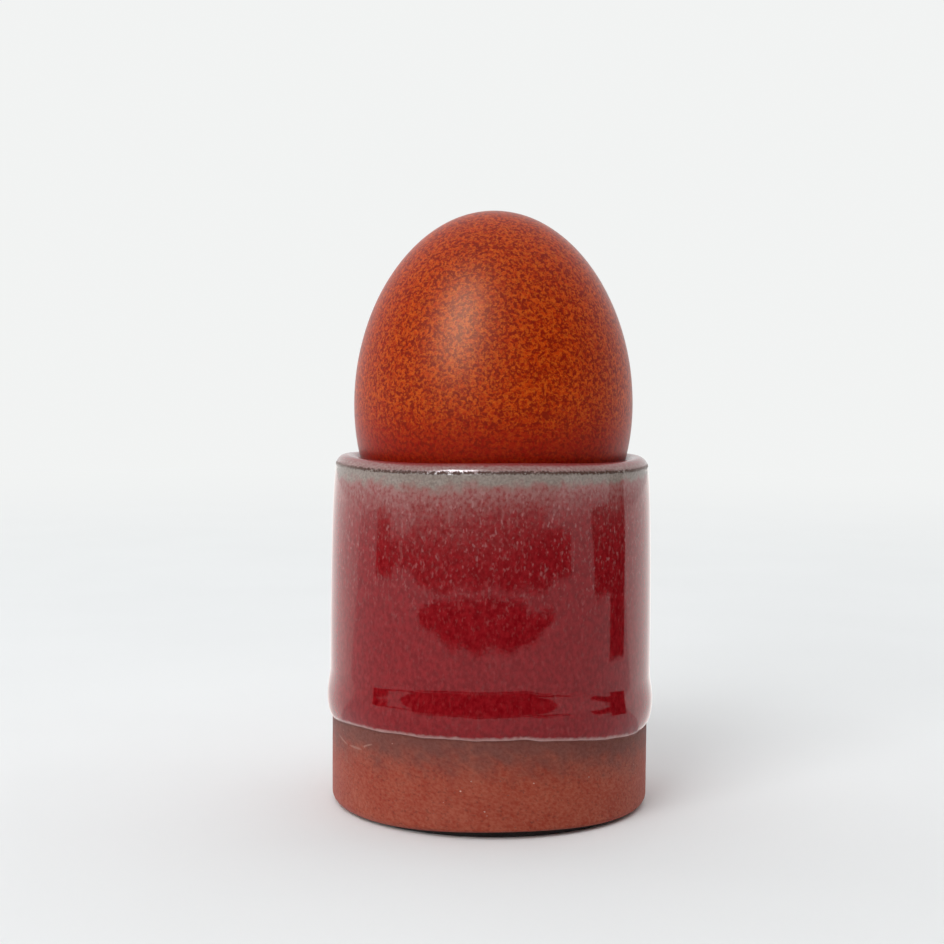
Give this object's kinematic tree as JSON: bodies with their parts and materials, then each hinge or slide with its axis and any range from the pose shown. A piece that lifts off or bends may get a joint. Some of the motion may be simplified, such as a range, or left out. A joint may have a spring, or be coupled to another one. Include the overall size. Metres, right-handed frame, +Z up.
{
  "type": "boiled egg in egg cup",
  "caption": "Whole boiled hen's egg, point up, held by the lip of a straight-sided stoneware egg cup whose glaze ends in a rolled edge above a bare clay foot.",
  "frame": {"origin": "middle of the cup's foot, at the height of the surface it stands on", "axes": "+Z up through the middle of the cup and the egg, -Y towards the side shown first, +X to that side's right"},
  "size_m": [0.0516, 0.0516, 0.0928],
  "materials": {
    "glazed_stoneware": "gloss",
    "eggshell": "satin"
  },
  "bodies": {
    "root": {"egg_cup": "glazed_stoneware", "egg": "eggshell"}
  },
  "joints": []
}
